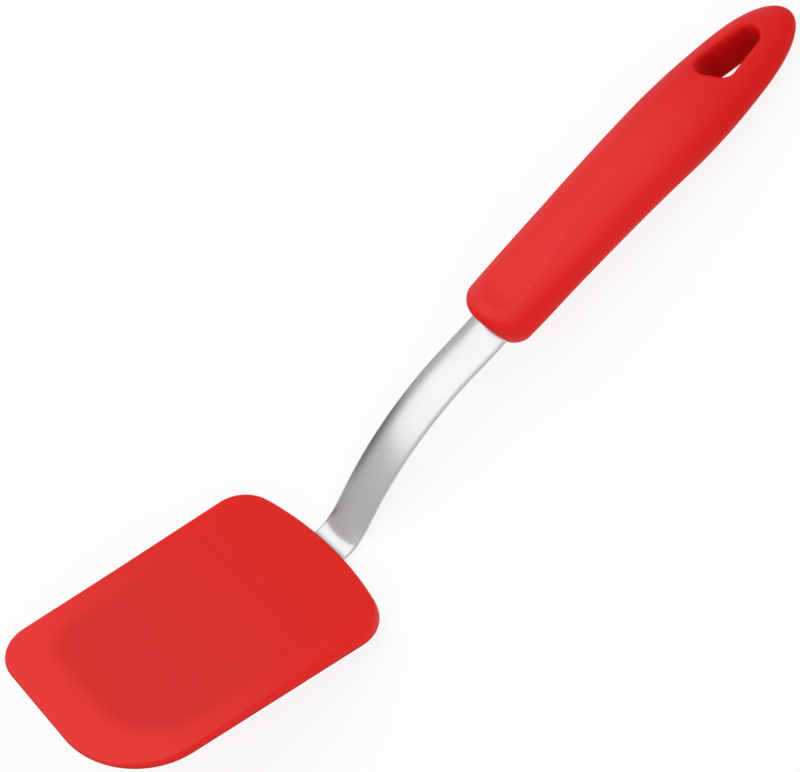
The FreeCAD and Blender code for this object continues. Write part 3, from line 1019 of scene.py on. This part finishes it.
# painted shade: darker along the blade's lower edge
store(blade, "low", outward * smooth_step(*painted_edge_shade, blade_points[:, 2]))
blade.data.transform(lay_down)
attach(blade, "root")
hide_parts("blade_cover")
print("share of the blade's points on its sides:", round(float(np.mean(side_wall_light)), 2))

# %% [markdown]
# The handle is an oval bar with a round tail, a dish for the thumb and a hang hole right through it.
# Every edge is soft. Cutting and bevelling a mesh would leave ragged corners, so the form is written as
# a field: a number for every place, negative inside and positive outside. Soft edges are then one
# formula. The section comes first: an oval of four arcs, two broad ones and two tight ones at its
# sides.

# %% Oval section of the handle
handle_side_share = 0.72
tiny = 1e-12


def oval_gauge(y, z, half_width, half):
    """How many times larger the oval is that passes through a point: 1 on the section itself."""
    side_radius = handle_side_share * half
    side_centre = half_width - side_radius
    broad_radius = (side_centre ** 2 + half ** 2 - side_radius ** 2) / (2 * (half - side_radius))
    sink = broad_radius - half
    join = np.arctan2(side_centre, sink)
    y = np.abs(y)
    z = np.abs(z)
    square = np.maximum(y ** 2 + z ** 2, tiny)
    broad = (np.sqrt((z * sink) ** 2 + square * (broad_radius ** 2 - sink ** 2)) - z * sink) / square
    side_root = np.maximum((y * side_centre) ** 2 - square * (side_centre ** 2 - side_radius ** 2), 0)
    side = (np.sqrt(side_root) + y * side_centre) / square
    on_top = z * broad_radius * np.sin(join) > y * (broad_radius * np.cos(join) - sink)
    return 1 / np.where(on_top, broad, np.maximum(side, tiny))


# %% [markdown]
# Along the handle the oval changes from station to station. Each row below has a share of the length,
# a width, a thickness and how far the back is arched there. Towards the tail an ellipse draws the ovals
# together, which rounds the end.

# %% Bar of the handle
handle_length = 0.1243
handle_rise = 0.0011
handle_tail_share = 0.6
handle_stations = (
    (0.0, 0.0229, 0.0170, 0.0),
    (0.1, 0.0239, 0.0168, 0.0005),
    (0.2, 0.0243, 0.0166, 0.0011),
    (0.3, 0.0248, 0.0169, 0.0015),
    (0.4, 0.0254, 0.0175, 0.0018),
    (0.5, 0.0261, 0.0180, 0.0018),
    (0.6, 0.0268, 0.0184, 0.0014),
    (0.7, 0.0271, 0.0185, 0.0011),
    (0.79, 0.0276, 0.0190, 0.0010),
    (0.9, 0.0298, 0.0211, 0.0011),
    (1.0, 0.0324, 0.0228, 0.0012),
)
handle_shares, handle_widths, handle_thicknesses, handle_arches = zip(*handle_stations)


def oval_bar(x, y, z):
    """Field of the bar: ovals through the stations, drawn together by an ellipse towards the tail."""
    share = np.clip(x / handle_length, 0, 1)
    half_width = smooth_through(handle_shares, handle_widths, share) / 2
    half = smooth_through(handle_shares, handle_thicknesses, share) / 2
    tail = np.maximum(x / handle_length - handle_tail_share, 0) / (1 - handle_tail_share)
    arch = smooth_through(handle_shares, handle_arches, share) * np.sqrt(np.maximum(1 - tail ** 2, 0))
    height = z - handle_rise - arch
    return (np.hypot(oval_gauge(y, height, half_width, half), tail) - 1) * half


bar_middle = np.array([handle_length / 2, 0.0, handle_rise])
print("handle:", *in_mm([-oval_bar(*bar_middle)]), "mm deep inside at its middle")

# %% [markdown]
# The hang hole has three rounded corners and a slight draft, so that the mould's pin can be drawn out.
# Its outline is three circles with straight lines round them, and its field is the distance from that
# outline.

# %% Hang hole
hang_rounds = ((0.0990, -0.0011, 0.0033), (0.1093, 0.0, 0.0028), (0.0969, 0.0024, 0.0031))
hang_middle_height = 0.0020
hang_draft = math.radians(7.3)


def hang_line_normals():
    """Outward normal of the straight line from each circle of the hang hole to the next."""
    normals = []
    next_rounds = hang_rounds[1:] + hang_rounds[:1]
    for (x, y, radius), (x_next, y_next, radius_next) in zip(hang_rounds, next_rounds):
        run = np.array([x_next - x, y_next - y])
        span = math.hypot(*run)
        along = run / span
        lean = (radius - radius_next) / span
        normals.append(lean * along - math.sqrt(1 - lean ** 2) * turned_left(along))
    return normals


def hang_outline(x, y):
    """Distance outside the hang hole's outline: from its lines, or from a circle at a corner."""
    after = hang_line_normals()
    before = after[-1:] + after[:-1]
    lines = []
    corners = []
    for (centre_x, centre_y, radius), coming, going in zip(hang_rounds, before, after):
        from_x = x - centre_x
        from_y = y - centre_y
        lines.append(from_x * going[0] + from_y * going[1] - radius)
        nearest = (coming[0] * from_y >= coming[1] * from_x) & (from_x * going[1] >= from_y * going[0])
        corners.append((nearest, np.hypot(from_x, from_y) - radius))
    distance = np.maximum.reduce(lines)
    for nearest, from_corner in corners:
        distance = np.where(nearest, from_corner, distance)
    return distance


def hang_hole(x, y, z):
    """Distance outside the hang hole, which grows wider upwards with its draft."""
    return (hang_outline(x, y) - math.tan(hang_draft) * (z - hang_middle_height)) * math.cos(hang_draft)


print("hang hole: rounds of", in_mm([radius for x, y, radius in hang_rounds]), "mm")

# %% [markdown]
# The handle's front is bowed and leans forward towards its top. A flat cut would be simpler, but its
# edge would show as a straight line beside the neck.

# %% Front of the handle
front_middle_place = 0.0007
front_bow_radius = 0.029
front_slant = math.radians(5.7)


def handle_front(x, y, z):
    """Distance in front of the handle's front, which is bowed forward and leans forward towards its top."""
    leaned = x + math.tan(front_slant) * (z - handle_rise) - front_middle_place
    behind = np.minimum(leaned - front_bow_radius, 0)
    return (np.hypot(behind, y) - front_bow_radius) * math.cos(front_slant)


# %% [markdown]
# The thumb dish is hollowed by a large cylinder that leans down to the front and ends in a round nose.
# It could be placed by hand, but it is placed from two stations of the bar, so it stays in the handle's
# top when the handle changes.

# %% Thumb dish
dish_deep_station = 1
dish_end_station = 3
dish_depth = 0.0021
dish_radius = 0.045
dish_nose_radius = 0.010


def handle_crest(station):
    """Place along the handle and height of its top at one of its stations."""
    height = handle_rise + handle_arches[station] + handle_thicknesses[station] / 2
    return np.array([handle_shares[station] * handle_length, height])


def thumb_dish(x, y, z):
    """Depth inside the leaning cylinder with a rounded nose that hollows the thumb dish."""
    deepest = handle_crest(dish_deep_station) - np.array([0, dish_depth])
    run = unit(handle_crest(dish_end_station) - deepest)
    along = (x - deepest[0]) * run[0] + (z - deepest[1]) * run[1]
    above = (z - deepest[1]) * run[0] - (x - deepest[0]) * run[1]
    from_axis = np.hypot(y, above - dish_radius)
    nose = dish_nose_radius - np.hypot(along, np.maximum(from_axis - dish_radius + dish_nose_radius, 0))
    return np.where(along > 0, dish_radius - from_axis, nose)


dish_crest = handle_crest(dish_deep_station)
print("thumb dish: deepest", in_mm(dish_crest)[0], "mm from the front,", *in_mm([dish_depth]), "mm deep")

# %% [markdown]
# The front, the dish and the hole each cut the bar. The larger of two fields is what a cut leaves, and
# a formula rounds the edge between them, with a radius for each cut.

# %% Whole field of the handle
front_edge_radius = 0.0035
dish_edge_radius = 0.0004
hang_edge_radius = 0.0015


def rounded_cut(first, second, radius):
    """Larger of two fields, with the edge between them rounded."""
    corner = np.hypot(np.maximum(first + radius, 0), np.maximum(second + radius, 0))
    return np.minimum(np.maximum(first, second), -radius) + corner


def handle_field(points):
    """Negative inside the handle, positive outside; points are in the handle's own frame."""
    x, y, z = points[..., 0], points[..., 1], points[..., 2]
    field = rounded_cut(oval_bar(x, y, z), handle_front(x, y, z), front_edge_radius)
    field = rounded_cut(field, thumb_dish(x, y, z), dish_edge_radius)
    return rounded_cut(field, -hang_hole(x, y, z), hang_edge_radius)


print("handle's field at its middle:", *in_mm([handle_field(bar_middle)]), "mm")

# %% [markdown]
# Now the field has to become a mesh. A voxel remesh of a rough model could do it, but it would blur the
# edges. Here the field is sampled on a grid. A point is put in each cell that the surface crosses, and
# a face with four sides round each grid edge that it crosses.

# %% Surface of a field
def field_surface(field, low, high, step):
    """Points and faces of the surface where a field is zero, one point in each cell that it crosses."""
    axes = [np.arange(low[axis], high[axis] + step, step) for axis in range(3)]
    grid = np.stack(np.meshgrid(*axes, indexing="ij"), axis=-1)
    inside = field(grid) < 0
    rows, columns, layers = (size - 1 for size in inside.shape)
    corners = [
        inside[i:rows + i, j:columns + j, k:layers + k] for i in (0, 1) for j in (0, 1) for k in (0, 1)
    ]
    crossed = np.any(corners, axis=0) & ~np.all(corners, axis=0)
    number = np.full(crossed.shape, -1)
    number[crossed] = np.arange(crossed.sum())
    points = grid[:-1, :-1, :-1][crossed] + step / 2
    faces = []
    for axis in range(3):
        one, two = [other for other in range(3) if other != axis]
        here = np.moveaxis(inside, (axis, one, two), (0, 1, 2))
        cells = np.moveaxis(number, (axis, one, two), (0, 1, 2))
        edge, i, j = np.nonzero(here[:-1, 1:-1, 1:-1] != here[1:, 1:-1, 1:-1])
        faces.append(np.column_stack([
            cells[edge, i, j], cells[edge, i + 1, j], cells[edge, i + 1, j + 1], cells[edge, i, j + 1],
        ]))
    return points, np.vstack(faces)


# %% [markdown]
# Those points sit in the middles of their cells, so the surface still has steps. They are drawn along
# the field's slope, a little at a time, until the field is zero. Moving each point towards its
# neighbours evens the faces, and drawing it on again afterwards keeps the surface exact.

# %% Points drawn onto a surface
def field_slope(field, points, reach):
    """Slope of a field at each point, which is square to the surface there."""
    slope = np.zeros_like(points)
    for axis in range(3):
        step = np.zeros(3)
        step[axis] = reach
        slope[:, axis] = (field(points + step) - field(points - step)) / (2 * reach)
    return slope


def drawn_on(field, points, rounds, reach, longest):
    """Points moved along the field's slope, no further than the longest step, until the field is zero."""
    for turn in range(rounds):
        slope = field_slope(field, points, reach)
        move = slope * (field(points) / np.maximum((slope ** 2).sum(axis=1), tiny))[:, None]
        size = np.linalg.norm(move, axis=1)
        points = points - move * np.minimum(1, longest / np.maximum(size, tiny))[:, None]
    return points


def evened(points, faces, share):
    """Points moved a share of the way to the middle of their neighbours."""
    total = np.zeros_like(points)
    count = np.zeros(len(points))
    for here, after in zip(faces.T, np.roll(faces, -1, axis=1).T):
        np.add.at(total, here, points[after])
        np.add.at(total, after, points[here])
        np.add.at(count, here, 1)
        np.add.at(count, after, 1)
    return points + share * (total / count[:, None] - points)


# %% [markdown]
# The grid is fine enough for the edges of the dish and the hole. A coarser one would be quicker, but
# its faces would show as flats on the tail.

# %% Handle
handle_cell = 0.00045
handle_low = (-0.002, -0.015, -0.011)
handle_high = (0.1265, 0.015, 0.014)
slope_reach = 0.00002
longest_move = handle_cell / 2
draw_rounds = 8
even_rounds = 4
even_share = 0.6
redraw_rounds = 2

handle_points, handle_faces = field_surface(handle_field, handle_low, handle_high, handle_cell)
handle_points = drawn_on(handle_field, handle_points, draw_rounds, slope_reach, longest_move)
for even_round in range(even_rounds):
    handle_points = evened(handle_points, handle_faces, even_share)
    handle_points = drawn_on(handle_field, handle_points, redraw_rounds, slope_reach, longest_move)
handle = mesh_piece("soft_handle", handle_points, handle_faces.tolist(), skin)
print("largest error of the handle's surface:", float(np.abs(handle_field(handle_points)).max()))
print("soft handle:", len(handle.data.polygons), "faces")

# %% [markdown]
# Where the skin is worn and where its shade is painted follows from the way that each point faces: the
# sheen lies on the top, a little of it on the near side, less of it towards the tail and none in the
# hole. The hole's wall and the tail are painted a deeper red as painted shade, the wall less so near its
# foot, as painted light from below. Then the handle is laid in its place.

# %% Sheen and painted shade of the skin
worn_facing = (0.62, 0.95)
near_facing = (0.0, 0.6)
near_sheen = 0.3
hole_reach = (0.0012, 0.0002)
hole_facing = (0.75, 0.30)
hole_foot = (0.0020, -0.0060)
hole_foot_light = 0.7
tail_fade = (0.055, 0.100)
tail_shade = 0.45
tail_dulled = 0.5

skin_points = np.array([vertex.co for vertex in handle.data.vertices])
skin_slope = field_slope(handle_field, skin_points, slope_reach)
facing = skin_slope / np.maximum(np.linalg.norm(skin_slope, axis=1), tiny)[:, None]
tail = smooth_step(*tail_fade, skin_points[:, 0])
in_hole = smooth_step(*hole_reach, hang_outline(skin_points[:, 0], skin_points[:, 1]))
in_hole *= smooth_step(*hole_facing, facing[:, 2])
# painted shade on the hole's wall, lifted near its foot as painted light from below
painted_hole_shade = in_hole * (1 - hole_foot_light * smooth_step(*hole_foot, skin_points[:, 2]))
top_sheen = smooth_step(*worn_facing, facing[:, 2])
sheen = np.maximum(top_sheen, near_sheen * smooth_step(*near_facing, -facing[:, 1]))
sheen *= (1 - in_hole) * (1 - tail_dulled * tail)
store(handle, "worn", sheen)
# painted shade: deeper red in the hang hole and towards the tail
store(handle, "painted_shade", np.maximum(painted_hole_shade, tail_shade * tail))
in_place = Matrix.Translation(handle_start) @ Matrix.Rotation(-handle_angle, 4, "Y")
handle.data.transform(lay_down @ in_place)
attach(handle, "root")
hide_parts("handle_grip")
print("share of the skin with a sheen:", round(float(np.mean(sheen)), 2))

# %% [markdown]
# The plate, its rivets and the handle's inner moulding are inside the other pieces. They can't be seen,
# so they stay as CAD solids, but each gets the finish of its own stock: rolled steel with a slight mill
# grain, or moulded plastic.

# %% Hidden pieces
spring_steel = (0.55, 0.56, 0.58, 1)
spring_grain = 1500.0
rivet_steel = (0.60, 0.60, 0.61, 1)
rivet_grain = 2500.0
mill_stretch = (0.1, 1, 1)
mill_detail = 3.0
mill_roughness = (0.3, 0.5)
plastic_red = (0.35, 0.02, 0.02, 1)
plastic_gloss = 0.4
plastic_grain = 1200.0
plastic_roughness = (0.45, 0.6)


def rolled_steel(name, colour, scale):
    """Plain sheet steel with a slight mill grain."""
    material, tree, shader = start_material(name)
    place = add_node(tree, "ShaderNodeTexCoord").outputs["Object"]
    stretched = add_node(tree, "ShaderNodeMapping", {"Vector": place, "Scale": mill_stretch}).outputs[0]
    rough = ranged(tree, noise(tree, stretched, scale, mill_detail), (0.0, 1.0), mill_roughness)
    shader.inputs["Base Color"].default_value = colour
    shader.inputs["Metallic"].default_value = 1.0
    tree.links.new(rough, shader.inputs["Roughness"])
    return material


inner_plastic = matte_rubber(
    "inner_plastic", plastic_red, plastic_gloss, plastic_grain, plastic_roughness,
)[0]
hidden_finishes = {
    "blade_core": rolled_steel("spring_steel", spring_steel, spring_grain),
    "core_rivets": rolled_steel("rivet_steel", rivet_steel, rivet_grain),
    "handle_core": inner_plastic,
}
for name, material in hidden_finishes.items():
    for slot in nodes[name].material_slots:
        slot.material = material
print("hidden pieces dressed:", ", ".join(hidden_finishes))
